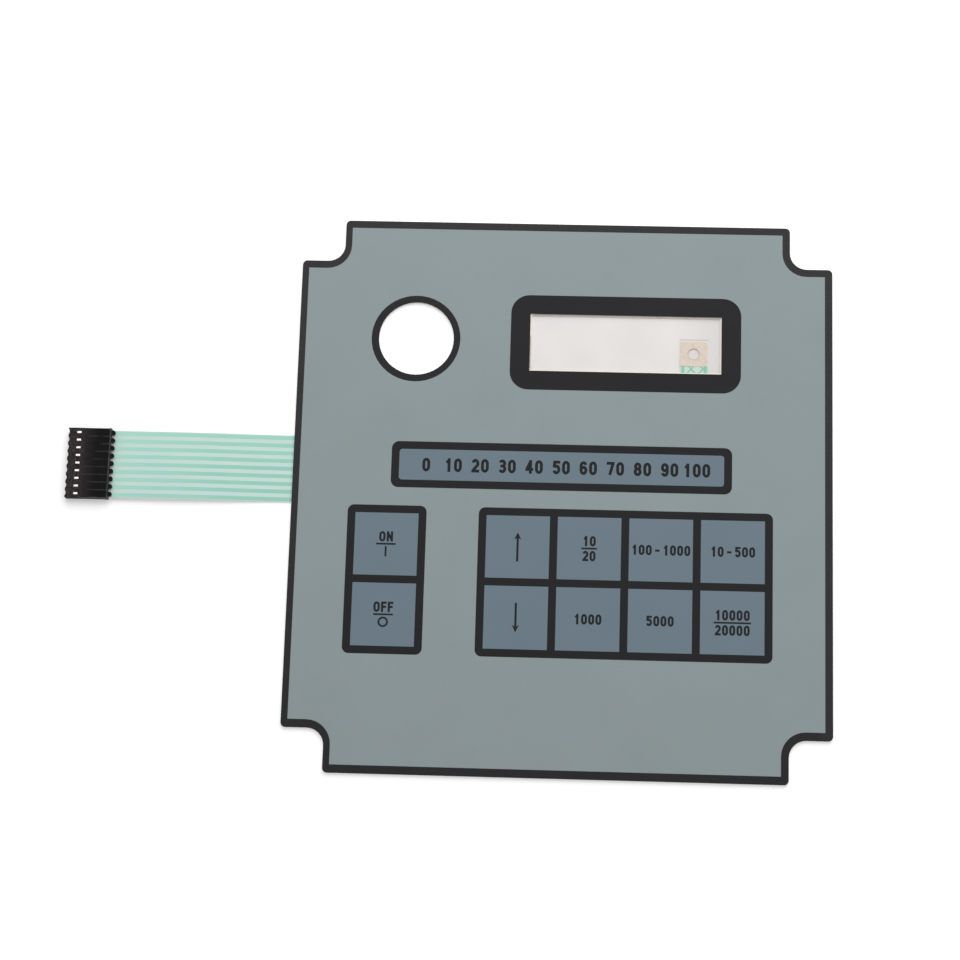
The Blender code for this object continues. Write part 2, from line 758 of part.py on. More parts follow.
def connector_housing(material):
    ways = [way_y(way) for way in range(WAYS)]
    between = [(first + second) / 2 for first, second in zip(ways, ways[1:])]
    half = HOUSING_WIDTH / 2
    body = side_body(housing_profile(), TAIL_Y - half, TAIL_Y + half)
    body = combined(body, rear_flange(), "UNION")
    body = combined(body, joined([tongue(y) for y in ways]), "UNION")
    for cutters in ([cavity(y) for y in ways], [film_slot()], [scallop(y) for y in ways]):
        body = combined(body, joined(cutters), "DIFFERENCE")
    for cutters in ([locking_slot(y) for y in ways], [groove(y) for y in between]):
        body = combined(body, joined(cutters), "DIFFERENCE")
    return finish("connector_housing", body, material)


def terminal_profile():
    """The upper and lower edge of a terminal, from its mouth to the ends of its jaws."""
    mouth = HOUSING_FRONT + TERMINAL_RECESS
    web_rear = TAIL_END - JAW_CLEARANCE
    web_front = web_rear - TERMINAL_WEB
    jaw_end = HOUSING_REAR - REAR_WALL - JAW_CLEARANCE
    beam = TERMINAL_HEIGHT / 2
    jaw = JAW_HEIGHT / 2
    grip = GRIP_THICKNESS / 2 + JAW_CLEARANCE
    pinch = mouth + (web_front - mouth) / 3
    outer = [
        (mouth, (beam + MOUTH_GAP / 2) / 2),
        (mouth + (beam - jaw), beam),
        (web_rear, beam),
        (web_rear + (beam - jaw), jaw),
        (jaw_end, jaw),
    ]
    jaw_inside = [(jaw_end, 2 * grip), (jaw_end - 2 * grip, grip), (web_rear, grip)]
    contact_inside = [(web_front, MOUTH_GAP / 2), (pinch, PIN_GAP / 2), (mouth, MOUTH_GAP / 2)]
    upper_rear = outer + jaw_inside
    lower = [(x, -z) for x, z in reversed(contact_inside)]
    lower_rear = [(x, -z) for x, z in reversed(upper_rear)]
    loop = upper_rear + lower_rear + lower + contact_inside
    return [(x, HOUSING_MIDDLE + z) for x, z in loop]


def terminals(material):
    """Nine equal terminals, one in each cavity. They share one mesh."""
    half = TERMINAL_WIDTH / 2
    body = side_body(terminal_profile(), -half, half)
    slot_x = HOUSING_FRONT + SLOT_FROM_FRONT
    reach = SLOT_LENGTH / 2 - LANCE_CLEARANCE
    side = SLOT_WIDTH / 2 - LANCE_CLEARANCE
    lance = rectangle(slot_x - reach, slot_x + reach, -side, side)
    low = HOUSING_MIDDLE + (TERMINAL_HEIGHT + PIN_GAP) / 4
    body = combined(body, flat_body(lance, [], low, HOUSING_THICKNESS - LANCE_BELOW_TOP), "UNION")
    first = finish("terminal_1", body, material)
    first.location.y = way_y(0)
    for way in range(1, WAYS):
        copy = bpy.data.objects.new(f"terminal_{way + 1}", first.data)
        bpy.context.scene.collection.objects.link(copy)
        copy.location.y = way_y(way)


def panel_films(paper, adhesive, film, clear):
    plain_film("release_liner", 0, LINER_THICKNESS, paper)
    plain_film("rear_adhesive", Z_REAR_ADHESIVE, REAR_ADHESIVE_THICKNESS, adhesive, WINDOW_RIM)
    lower_circuit_film(film)
    circuit_spacer(film)
    plain_film("upper_circuit_film", Z_UPPER_FILM, CIRCUIT_FILM_THICKNESS, film, WINDOW_RIM)
    plain_film("overlay_adhesive", Z_OVERLAY_ADHESIVE, OVERLAY_ADHESIVE_THICKNESS, adhesive, WINDOW_RIM)
    plain_film("overlay_film", Z_OVERLAY, OVERLAY_THICKNESS, clear)


def main():
    clear_scene()
    paper = make_material("liner_paper", (232, 229, 227), 0.6)
    adhesive = make_material("adhesive", (233, 229, 224), 0.5)
    film = make_material("circuit_film", (197, 220, 212), 0.35)
    clear = make_material("clear_film", (240, 242, 242), 0.2, alpha=0.15)
    grey = make_material("grey_ink", (142, 153, 155), 0.5)
    black = make_material("black_ink", (48, 48, 50), 0.5)
    blue = make_material("blue_grey_ink", (108, 123, 134), 0.5)
    green = make_material("green_coated_silver", (158, 209, 192), 0.4)
    buff = make_material("buff_pad", (218, 205, 190), 0.7)
    moulding = make_material("black_moulding", (40, 39, 40), 0.45)
    tin = make_material("tin_plate", (225, 225, 222), 0.25, metallic=1.0)

    panel_films(paper, adhesive, film, clear)
    for way in range(WAYS):
        conductor(way, green)
    tab_pad(buff)
    tab_crossed_marks(green)
    front_print(grey, black, blue)
    connector_housing(moulding)
    terminals(tin)


main()
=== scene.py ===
"""Looks of the membrane keypad: its inks, films, tail and connector, and the legends printed on the keys.

Lengths are in metres in the part's own frame. X runs along the panel's width and Y along its height, and +Z
points out of the printed front.
"""

import math

import bmesh
import bpy
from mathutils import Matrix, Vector
from mathutils.geometry import delaunay_2d_cdt


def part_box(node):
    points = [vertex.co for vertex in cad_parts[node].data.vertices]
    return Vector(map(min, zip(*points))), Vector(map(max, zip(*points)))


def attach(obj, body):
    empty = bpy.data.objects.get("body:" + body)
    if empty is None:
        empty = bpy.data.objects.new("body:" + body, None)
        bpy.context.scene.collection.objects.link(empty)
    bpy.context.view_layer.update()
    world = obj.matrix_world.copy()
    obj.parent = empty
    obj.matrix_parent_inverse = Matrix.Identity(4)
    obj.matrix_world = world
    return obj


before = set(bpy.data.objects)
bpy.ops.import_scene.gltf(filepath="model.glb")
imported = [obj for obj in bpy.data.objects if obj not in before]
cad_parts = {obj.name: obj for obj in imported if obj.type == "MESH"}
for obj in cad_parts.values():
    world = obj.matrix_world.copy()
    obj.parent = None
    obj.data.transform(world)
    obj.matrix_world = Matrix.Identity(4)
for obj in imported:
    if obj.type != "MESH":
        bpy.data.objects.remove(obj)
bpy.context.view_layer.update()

MM = 0.001

# Sockets of a Mix node that mixes colours, counted from 0
MIX_SHARE = 0
MIX_FIRST_COLOUR = 6
MIX_SECOND_COLOUR = 7
MIX_COLOUR = 2

# Camera, on a 36 mm sensor, with its turn in degrees
CAMERA_PLACE = (4.09 * MM, -161.18 * MM, 740.62 * MM)
CAMERA_TURN = (12.6559, 1.9486, 1.7673)
CAMERA_LENS = 88.413
CAMERA_NEAREST = 10 * MM

# Light
AMBIENT = 0.52
OVERHEAD_PLACE = (0.12, 0.62, 0.62)
OVERHEAD_SIZE = 1.0
OVERHEAD_POWER = 6.8
FLOOR_DROP = 0.05 * MM
FLOOR_SIZE = 8.0
FLOOR_COLOUR = (0.92, 0.92, 0.92, 1.0)
FLOOR_LIFT = 0.25
FAR_FLOOR_LIFT = 0.53
LIFT_GROWS_FROM = 0.4
LIFT_GROWS_TO = 1.4

# Places that the materials follow, measured from the edges of the part's pieces
PANEL_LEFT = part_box("release_liner")[0].x
TAB_EDGE_ABOVE_PAD = 0.8 * MM
TAB_EDGE_SHADOW = 0.2 * MM
PAD_HOLE_BELOW_TOP = 4.1 * MM
PAD_HOLE_RADIUS = 1.8 * MM
PAD_HOLE_SOFTNESS = 0.1 * MM
PAD_SHADE_INSIDE = 0.12 * MM
PAD_SHADE_OUTSIDE = 0.35 * MM
LINER_SHADE_FROM = 34 * MM
LINER_SHADE_TO = 50 * MM
BORDER_FULLEST_SHEEN_SHARE = 0.75
BORDER_PALE_WIDTH = 4 * MM
BORDER_PALE_SOFTNESS = 2 * MM
WAY_PITCH = 2.54 * MM
TAIL_MIDDLE = (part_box("connector_housing")[0].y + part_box("connector_housing")[1].y) / 2
ROUGH_ZONE = 5.2 * MM
ROUGH_FADES_FROM = 4.3 * MM
ROUGH_FADES_TO = 5.7 * MM
PALE_ZONE = 9.6 * MM
GRIPPED_LENGTH = 3.5 * MM
GREEN_PALES_AFTER = 23 * MM
TAIL_HALF_WIDTH = 11.0 * MM
LIP_FROM_FRONT = 13.5 * MM
HOUSING_DEPTH = 13.9 * MM
LIP_SOFTNESS = 0.05 * MM

# Half width of the painted highlights on the grooves between the housing's ways, as shares of the pitch
GROOVE_FADES_FROM = 0.05
GROOVE_FADES_TO = 0.08

# Clear film: the share of light that it mirrors when seen straight on and edge on, and the tint of the rest
FILM_GLOSS_LEAST = 0.005
FILM_GLOSS_MOST = 0.6
FILM_GLOSS_FALL = 5.0
FILM_TINT = (0.995, 0.995, 0.993, 1.0)

# Finish of the ink, on a film with a velvet grain
INK_SPECULAR = 0.12
INK_SMOOTHEST = 0.44
INK_ROUGHEST = 0.56
INK_GRAIN = 0.28 * MM
INK_BUMP_GRAIN = 0.14 * MM
INK_BUMP = 0.004 * MM
INK_STREAK = 3 * MM
DUST_SPACING = 9 * MM
DUST_SIZE = 0.28 * MM
DUST_SHARE = 0.14

# Legends
INK_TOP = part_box("print_border")[1].z
LEGEND_THICKNESS = 0.01 * MM
CAP_HEIGHT = 3.35 * MM
STACK_OFFSET = 2.42 * MM
BAR_HEIGHT = 0.56 * MM
BAR_OVERHANG = 0.8 * MM
ARROW_LENGTH = 9.5 * MM
ARROW_HEAD_LENGTH = 2.4 * MM
ARROW_HEAD_WIDTH = 2.3 * MM
ARROW_NOTCH = 0.5 * MM
ARROW_LINE = 0.68 * MM
SYMBOL_LINE = 0.6 * MM
SAME_PLACE = 0.001 * MM
STRAIGHT_WITHIN = 1e-6
RING_STEPS = 48
BEND_STEPS = 14
ON_KEY = 1
UP_KEY = 2
OFF_KEY = 6
DOWN_KEY = 7
SCALE_CAP_HEIGHT = 4.5 * MM
SCALE_SPAN = 87.0 * MM
SCALE_STEP = 10
SCALE_END = 100

# How flat pieces are joined: only what lies inside them is kept, and corners closer than this many mm are one
INSIDE_FACES = 1
JOIN_WITHIN = 1e-5

# Proportions of the letters, as shares of their height
STROKE_SHARE = 0.21
DIGIT_SHARE = 0.56
LETTER_GAP_SHARE = 0.12
LETTER_SHARES = {"O": 0.60, "N": 0.60, "F": 0.52, "-": 0.42, " ": 0.08}


def linear(screen_colour):
    """A colour as a screen shows it, from 0 to 255, turned into the linear values that a shader takes."""
    values = []
    for value in screen_colour:
        share = value / 255
        values.append(share / 12.92 if share <= 0.04045 else ((share + 0.055) / 1.055) ** 2.4)
    return (*values, 1.0)


def scaled(colour, factor):
    return (*(min(value * factor, 1.0) for value in colour[:3]), 1.0)


class Surface:
    """A material in the making: its shader, and short ways to add patterns to it."""

    def __init__(self, name, specular=0.0, roughness=0.5):
        self.material = bpy.data.materials.new(name)
        self.material.use_nodes = True
        self.nodes = self.material.node_tree.nodes
        self.links = self.material.node_tree.links
        self.shader = self.nodes["Principled BSDF"]
        self.shader.inputs["Specular IOR Level"].default_value = specular
        self.shader.inputs["Roughness"].default_value = roughness
        self.place = self.add("ShaderNodeTexCoord").outputs["Object"]

    def add(self, kind, **values):
        node = self.nodes.new(kind)
        for name, value in values.items():
            self.put(value, node.inputs[name.replace("_", " ")])
        return node

    def put(self, value, target):
        """Sets a socket to a number or a colour, or joins another socket to it."""
        if isinstance(value, bpy.types.NodeSocket):
            self.links.new(value, target)
        else:
            target.default_value = value

    def noise(self, size, detail=2.0, stretch=(1.0, 1.0, 1.0)):
        """Soft clouds, 0 to 1, of about the given size. A stretch under 1 draws them out along that axis."""
        place = self.place
        if stretch != (1.0, 1.0, 1.0):
            place = self.add("ShaderNodeMapping", Vector=self.place, Scale=stretch).outputs["Vector"]
        return self.add("ShaderNodeTexNoise", Vector=place, Scale=1 / size, Detail=detail).outputs["Fac"]

    def spread(self, value, low, high, start=0.0, end=1.0):
        """The value moved from the range start..end to low..high, and kept inside it."""
        node = self.add("ShaderNodeMapRange", Value=value, From_Min=start, From_Max=end)
        node.inputs["To Min"].default_value = low
        node.inputs["To Max"].default_value = high
        return node.outputs["Result"]

    def axis(self, name):
        """How far along X, Y or Z a point lies."""
        return self.add("ShaderNodeSeparateXYZ", Vector=self.place).outputs[name]

    def step(self, value, edge, softness=0.1 * MM):
        """0 below the edge and 1 above it."""
        return self.spread(value, 0.0, 1.0, edge - softness, edge + softness)

    def band(self, value, low, high, softness=0.1 * MM):
        """1 between two places and 0 outside them."""
        return self.maths("SUBTRACT", self.step(value, low, softness), self.step(value, high, softness))

    def distance(self, x, y):
        """How far a point lies from the upright line through x and y."""
        across = self.maths("SUBTRACT", self.axis("X"), x)
        along = self.maths("SUBTRACT", self.axis("Y"), y)
        across_squared = self.maths("MULTIPLY", across, across)
        along_squared = self.maths("MULTIPLY", along, along)
        return self.maths("SQRT", self.maths("ADD", across_squared, along_squared))

    def maths(self, operation, first, second=0.0):
        node = self.nodes.new("ShaderNodeMath")
        node.operation = operation
        self.put(first, node.inputs[0])
        self.put(second, node.inputs[1])
        return node.outputs["Value"]

    def mix(self, share, first, second):
        """A colour between the first and the second."""
        node = self.nodes.new("ShaderNodeMix")
        node.data_type = "RGBA"
        self.put(share, node.inputs[MIX_SHARE])
        self.put(first, node.inputs[MIX_FIRST_COLOUR])
        self.put(second, node.inputs[MIX_SECOND_COLOUR])
        return node.outputs[MIX_COLOUR]

    def specks(self, spacing, size, share):
        """Small round dots, 1 on a dot and 0 beside it. Only the given share of the places holds one."""
        voronoi = self.add("ShaderNodeTexVoronoi", Vector=self.place, Scale=1 / spacing)
        dots = self.spread(voronoi.outputs["Distance"], 1.0, 0.0, size * 0.6 / spacing, size / spacing)
        chosen = self.maths("LESS_THAN", voronoi.outputs["Color"], share)
        return self.maths("MULTIPLY", dots, chosen)

    def paint(self, colour):
        self.put(colour, self.shader.inputs["Base Color"])

    def roughen(self, pattern, low, high):
        """Makes the roughness follow a pattern, from low where it is 0 to high where it is 1."""
        self.put(self.spread(pattern, low, high), self.shader.inputs["Roughness"])

    def bump(self, height, depth):
        """Raises the surface by depth where height is 1."""
        node = self.add("ShaderNodeBump", Height=height, Distance=depth, Strength=1.0)
        self.put(node.outputs["Normal"], self.shader.inputs["Normal"])

    def finish_with(self, shader):
        """Puts another shader in the place of the first one."""
        self.nodes.remove(self.shader)
        self.put(shader, self.nodes["Material Output"].inputs["Surface"])


# Materials


def with_grain(ink, colour, pale):
    """The ink's colour with the paler specks of a velvet grain."""
    return ink.mix(ink.spread(ink.noise(INK_GRAIN), 0.0, 0.12, 0.45, 0.75), colour, pale)


def finish_ink(ink, colour, streaks):
    """Gives an ink its colour, a roughness that follows the streaks, and its fine bump."""
    ink.paint(colour)
    ink.roughen(streaks, INK_SMOOTHEST, INK_ROUGHEST)
    ink.bump(ink.noise(INK_BUMP_GRAIN, detail=3.0), INK_BUMP)


def printed_ink(name, screen_colour, mottle, dust=None):
    """Screen-printed ink. It is faintly cloudy, and dust can sit on it here and there."""
    ink = Surface(name, specular=INK_SPECULAR)
    base = linear(screen_colour)
    clouds = ink.spread(ink.noise(22 * MM, detail=4.0), 0.0, 1.0, 0.3, 0.7)
    colour = ink.mix(clouds, scaled(base, 1 - mottle), scaled(base, 1 + mottle))
    colour = with_grain(ink, colour, scaled(base, 1.5))
    if dust:
        specks = ink.specks(DUST_SPACING, DUST_SIZE, DUST_SHARE)
        colour = ink.mix(ink.maths("MULTIPLY", specks, 0.6), colour, dust)
    finish_ink(ink, colour, ink.noise(INK_STREAK, detail=5.0, stretch=(0.2, 1.0, 1.0)))
    return ink.material


def border_ink():
    """The border's black: paler towards its upper side by a painted sheen, and paler along its right side."""
    ink = Surface("border_ink", specular=INK_SPECULAR)
    low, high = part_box("print_border")
    fullest_sheen_from = low.lerp(high, BORDER_FULLEST_SHEEN_SHARE).y
    # painted sheen: the black grows paler towards the border's upper side
    sheen_upwards = ink.spread(ink.axis("Y"), 0.0, 1.0, low.y, fullest_sheen_from)
    colour = ink.mix(sheen_upwards, linear((33, 33, 35)), linear((47, 46, 46)))
    right_side = ink.step(ink.axis("X"), high.x - BORDER_PALE_WIDTH, BORDER_PALE_SOFTNESS)
    colour = ink.mix(ink.maths("MULTIPLY", right_side, 0.5), colour, linear((50, 48, 51)))
    clouds = ink.spread(ink.noise(5 * MM, detail=4.0), 0.0, 0.5, 0.4, 0.7)
    colour = ink.mix(clouds, colour, linear((40, 39, 40)))
    colour = with_grain(ink, colour, linear((66, 65, 66)))
    finish_ink(ink, colour, ink.noise(INK_STREAK, detail=5.0))
    return ink.material


def from_pad_hole(surface):
    """How far a point lies from the middle of the hole in the tab's pad."""
    low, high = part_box("tab_pad")
    return surface.distance((low.x + high.x) / 2, high.y - PAD_HOLE_BELOW_TOP)


def liner_paper():
    """White coated paper, fibred and patchy; painted shade darkens it to its right and, pinkish, in the tab's
    hole.
    """
    paper = Surface("liner_paper", specular=0.1, roughness=0.6)
    patches = paper.spread(paper.noise(16 * MM, detail=3.0), 0.0, 1.0, 0.35, 0.65)
    colour = paper.mix(patches, linear((234, 230, 229)), linear((229, 225, 224)))
    # painted shade: the paper darkens towards its right
    shade = paper.spread(paper.axis("X"), 0.0, 0.8, LINER_SHADE_FROM, LINER_SHADE_TO)
    colour = paper.mix(shade, colour, linear((218, 214, 212)))
    # painted shade: darker and pinkish paper inside the tab's hole
    outside_hole = paper.step(from_pad_hole(paper), PAD_HOLE_RADIUS, PAD_HOLE_SOFTNESS)
    hole_shade = paper.spread(outside_hole, 0.8, 0.0)
    colour = paper.mix(hole_shade, colour, linear((224, 213, 216)))
    fibres = paper.noise(0.5 * MM, detail=5.0, stretch=(0.35, 1.0, 1.0))
    colour = paper.mix(paper.spread(fibres, 0.0, 0.2, 0.5, 0.8), colour, linear((215, 209, 206)))
    paper.paint(colour)
    paper.bump(fibres, 0.006 * MM)
    return paper.material


def adhesive_layer():
    """Off-white acrylic adhesive, seen at the rim of the window and at the cut edges."""
    glue = Surface("adhesive_layer", specular=0.2)
    smears = glue.noise(1.2 * MM, detail=3.0)
    glue.paint(glue.mix(smears, linear((252, 243, 233)), linear((243, 232, 220))))
    glue.roughen(smears, 0.3, 0.5)
    glue.bump(glue.noise(0.3 * MM), 0.01 * MM)
    return glue.material


def circuit_film():
    """Polyester film: pale green along the tail and at the tab's foot, and white on the rest of the panel."""
    film = Surface("circuit_film", specular=0.2)
    pad_low, pad_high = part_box("tab_pad")
    tab_edge = pad_high.y + TAB_EDGE_ABOVE_PAD
    lines = film.noise(0.5 * MM, detail=4.0, stretch=(0.04, 1.0, 1.0))
    clouds = film.noise(9 * MM, detail=3.0)
    tail = film.mix(film.spread(lines, 0.0, 1.0, 0.3, 0.7), linear((196, 222, 214)), linear((202, 226, 218)))
    tail = film.mix(film.spread(clouds, 0.0, 0.35, 0.4, 0.8), tail, linear((189, 218, 208)))
    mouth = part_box("connector_housing")[1].x
    gripped = film.spread(film.axis("X"), 0.8, 0.0, mouth, mouth + GRIPPED_LENGTH)
    tail = film.mix(gripped, tail, linear((205, 214, 203)))
    panel = film.mix(clouds, linear((226, 222, 218)), linear((221, 216, 211)))
    foot = linear((198, 217, 208))
    panel = film.mix(film.step(film.axis("Y"), pad_low.y), foot, panel)
    # painted shadow: a dark line along the tab's top edge
    tab_edge_shadow = film.band(film.axis("Y"), tab_edge - TAB_EDGE_SHADOW, tab_edge + TAB_EDGE_SHADOW, 0.05 * MM)
    panel = film.mix(tab_edge_shadow, panel, linear((180, 172, 167)))
    film.paint(film.mix(film.step(film.axis("X"), PANEL_LEFT), tail, panel))
    film.roughen(clouds, 0.26, 0.42)
    film.bump(lines, 0.004 * MM)
    return film.material


def green_conductor():
    """Silver ink under a green coat, with the fine grain of a printed paste, deeper green on the panel."""
    coat = Surface("green_conductor", specular=0.2)
    clouds = coat.noise(6 * MM, detail=4.0, stretch=(0.35, 1.0, 1.0))
    clouded = coat.spread(clouds, 0.0, 1.0, 0.3, 0.7)
    colour = coat.mix(clouded, linear((150, 203, 187)), linear((159, 211, 195)))
    # painted shade: the green is darker nearer the panel and paler towards the far end
    pale_from = PANEL_LEFT - GREEN_PALES_AFTER
    far_end_painted_light = coat.spread(coat.axis("X"), 1.0, 0.0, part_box("conductor_1")[0].x, pale_from)
    colour = coat.mix(far_end_painted_light, colour, linear((174, 223, 208)))
    upper_side = coat.spread(coat.axis("Y"), 0.0, 0.5, TAIL_MIDDLE, TAIL_MIDDLE + TAIL_HALF_WIDTH)
    colour = coat.mix(upper_side, colour, linear((172, 222, 206)))
    grain = coat.noise(0.35 * MM, detail=4.0)
    colour = coat.mix(coat.spread(grain, 0.0, 0.25, 0.5, 0.8), colour, linear((140, 198, 180)))
    colour = coat.mix(coat.step(coat.axis("X"), PANEL_LEFT), colour, linear((138, 197, 175)))
    coat.paint(colour)
    coat.roughen(grain, 0.3, 0.46)
    coat.bump(grain, 0.006 * MM)
    return coat.material


def buff_pad():
    """The buff pad on the tab: a soft mottle, like paper soaked with glue, with painted shade round its
    punched hole.
    """
    pad = Surface("buff_pad", specular=0.1, roughness=0.65)
    mottle = pad.noise(0.9 * MM, detail=5.0)
    mottled = pad.spread(mottle, 0.0, 1.0, 0.35, 0.65)
    colour = pad.mix(mottled, linear((215, 201, 186)), linear((226, 213, 200)))
    # painted shade: a brown ring round the pad's hole
    shade_ring_start = PAD_HOLE_RADIUS + PAD_SHADE_INSIDE
    hole_shade_ring = pad.spread(from_pad_hole(pad), 0.5, 0.0, shade_ring_start, PAD_HOLE_RADIUS + PAD_SHADE_OUTSIDE)
    pad.paint(pad.mix(hole_shade_ring, colour, linear((178, 158, 140))))
    pad.bump(mottle, 0.02 * MM)
    return pad.material


def moulding():
    """Black glass-filled moulding, grainy in front, then smooth; its grooves and lip have painted highlights.
    """
    body = Surface("black_moulding", specular=0.06)
    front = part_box("connector_housing")[0].x
    along = body.axis("X")
    grainy = body.spread(along, 1.0, 0.0, front + ROUGH_FADES_FROM, front + ROUGH_FADES_TO)
    on_lip = body.step(along, front + LIP_FROM_FRONT, LIP_SOFTNESS)
    past_lip = body.step(along, front + HOUSING_DEPTH, LIP_SOFTNESS)
    grain = body.noise(0.3 * MM, detail=5.0)
    speckled = body.spread(grain, 0.0, 1.0, 0.42, 0.66)
    rough_colour = body.mix(speckled, linear((20, 18, 18)), linear((76, 70, 71)))
    streaks = body.noise(0.5 * MM, detail=4.0, stretch=(1.0, 0.12, 1.0))
    streaked = body.spread(streaks, 0.0, 1.0, 0.4, 0.75)
    smooth_colour = body.mix(streaked, linear((11, 11, 12)), linear((21, 20, 22)))
    pale = body.spread(along, 1.0, 0.0, front + ROUGH_ZONE, front + PALE_ZONE)
    smooth_colour = body.mix(pale, smooth_colour, linear((40, 38, 40)))
    # painted highlights: pale lines along the grooves between the ways, patchy along the housing
    ways = body.maths("DIVIDE", body.maths("SUBTRACT", body.axis("Y"), TAIL_MIDDLE), WAY_PITCH)
    from_groove = body.maths("ABSOLUTE", body.maths("SUBTRACT", body.maths("FRACT", ways), 0.5))
    groove = body.spread(from_groove, 1.0, 0.0, GROOVE_FADES_FROM, GROOVE_FADES_TO)
    groove_highlight = body.maths("MULTIPLY", groove, body.spread(body.noise(4 * MM), 0.05, 1.0, 0.42, 0.58))
    smooth_colour = body.mix(groove_highlight, smooth_colour, linear((62, 59, 61)))
    colour = body.mix(grainy, smooth_colour, rough_colour)
    # painted highlight: the lip is paler in patches
    lip_highlight_patches = body.spread(body.noise(1.5 * MM, detail=3.0), 0.0, 1.0, 0.35, 0.65)
    colour = body.mix(on_lip, colour, body.mix(lip_highlight_patches, linear((48, 46, 47)), linear((78, 75, 77))))
    body.paint(body.mix(past_lip, colour, linear((19, 19, 19))))
    body.roughen(grainy, 0.4, 0.62)
    body.bump(body.maths("MULTIPLY", grainy, grain), 0.012 * MM)
    return body.material


def tin_plate():
    """Bright tin over copper alloy, rolled along the strip."""
    tin = Surface("tin_plate", specular=0.5)
    tin.shader.inputs["Metallic"].default_value = 1.0
    lines = tin.noise(0.12 * MM, detail=3.0, stretch=(0.1, 1.0, 1.0))
    tin.paint(tin.mix(lines, linear((228, 228, 224)), linear((246, 246, 243))))
    tin.roughen(lines, 0.18, 0.36)
    tin.bump(lines, 0.004 * MM)
    return tin.material


def clear_film():
    """Clear polyester with a satin front: it lets light through, and gloss is seen on it at low angles."""
    film = Surface("clear_film")
    satin = film.spread(film.noise(2.5 * MM, detail=3.0), 0.18, 0.22)
    gloss = film.add("ShaderNodeBsdfGlossy", Color=(1.0, 1.0, 1.0, 1.0), Roughness=satin)
    through = film.add("ShaderNodeBsdfTransparent", Color=FILM_TINT)
    slant = film.add("ShaderNodeLayerWeight", Blend=0.5).outputs["Facing"]
    share = film.spread(film.maths("POWER", slant, FILM_GLOSS_FALL), FILM_GLOSS_LEAST, FILM_GLOSS_MOST)
    both = film.nodes.new("ShaderNodeMixShader")
    film.put(share, both.inputs["Fac"])
    film.put(through.outputs["BSDF"], both.inputs[1])
    film.put(gloss.outputs["BSDF"], both.inputs[2])
    film.finish_with(both.outputs["Shader"])
    return film.material


def material_of_node():
    """Which material each node of the part gets, by the start of its name."""
    grey = printed_ink("grey_ink", (140, 151, 153), 0.02, linear((118, 126, 128)))
    blue = printed_ink("blue_grey_ink", (107, 123, 133), 0.02, linear((88, 98, 106)))
    black = printed_ink("black_ink", (28, 28, 30), 0.06, linear((80, 80, 82)))
    ring_black = printed_ink("ring_ink", (33, 32, 34), 0.06)
    film = circuit_film()
    green = green_conductor()
    glue = adhesive_layer()
    return {
        "release_liner": liner_paper(),
        "rear_adhesive": glue,
        "overlay_adhesive": glue,
        "lower_circuit_film": film,
        "circuit_spacer": film,
        "upper_circuit_film": film,
        "overlay_film": clear_film(),
        "conductor": green,
        "tab_crossed_marks": green,
        "tab_pad": buff_pad(),
        "print_grey_field": grey,
        "print_title_field": blue,
        "key_field": blue,
        "print_border": border_ink(),
        "print_hole_ring": ring_black,
        "print": black,
        "connector_housing": moulding(),
        "terminal": tin_plate(),
    }


def dress_nodes(materials):
    """Gives every node the material whose key is the longest that its name starts with."""
    for name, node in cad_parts.items():
        key = max((start for start in materials if name.startswith(start)), key=len)
        node.data.materials.clear()
        node.data.materials.append(materials[key])


# Letters, drawn as strokes. The middle lines of the strokes run in a box one unit wide and one unit high


def bend(x, y, radius_x, radius_y, start, end, steps=BEND_STEPS):
    """Points along part of an ellipse, from one angle to another."""
    points = []
    for index in range(steps + 1):
        turn = math.radians(start + (end - start) * index / steps)
        points.append((x + radius_x * math.cos(turn), y + radius_y * math.sin(turn)))
    return points


def letter_strokes():
    """The middle lines of each letter. A line whose ends meet is a closed ring."""
    oval = bend(0.5, 0.7, 0.5, 0.3, 0, 180) + bend(0.5, 0.3, 0.5, 0.3, 180, 360)
    oval.append(oval[0])
    six = [bend(0.5, 0.29, 0.5, 0.29, 0, 360), [(0, 0.33)] + bend(0.5, 0.7, 0.5, 0.3, 180, 20)]
    nine = [[(1 - x, 1 - y) for x, y in stroke] for stroke in six]
    return {
        "0": [oval],
        "1": [[(0.62, 0), (0.62, 1)], [(0.1, 0.72), (0.6, 0.96)]],
        "2": [bend(0.5, 0.7, 0.5, 0.3, 165, -25) + [(0.08, 0.08)], [(0, 0), (1, 0)]],
        "3": [
            bend(0.48, 0.76, 0.46, 0.24, 160, -90) + [(0.38, 0.52)],
            [(0.38, 0.52)] + bend(0.5, 0.26, 0.5, 0.26, 90, -160),
        ],
        "4": [[(0.72, 0), (0.72, 1)], [(0, 0.26), (1, 0.26)], [(0.03, 0.34), (0.66, 0.96)]],
        "5": [[(0.12, 1), (0.94, 1)], [(0.12, 0.98), (0.04, 0.5)], bend(0.48, 0.32, 0.52, 0.32, 145, -160)],
        "6": six,
        "7": [[(0, 1), (1, 1)], [(0.96, 0.94), (0.34, -0.08)]],
        "8": [bend(0.5, 0.76, 0.45, 0.24, 0, 360), bend(0.5, 0.27, 0.5, 0.27, 0, 360)],
        "9": nine,
        "O": [oval],
        "N": [[(0, 0), (0, 1)], [(1, 0), (1, 1)], [(0, 1), (1, 0)]],
        "F": [[(0, 0), (0, 1)], [(0, 1), (1, 1)], [(0, 0.5), (0.85, 0.5)]],
        "-": [[(0, 0.45), (1, 0.45)]],
        " ": [],
    }


def is_ring(line):
    return math.dist(line[0], line[-1]) < SAME_PLACE


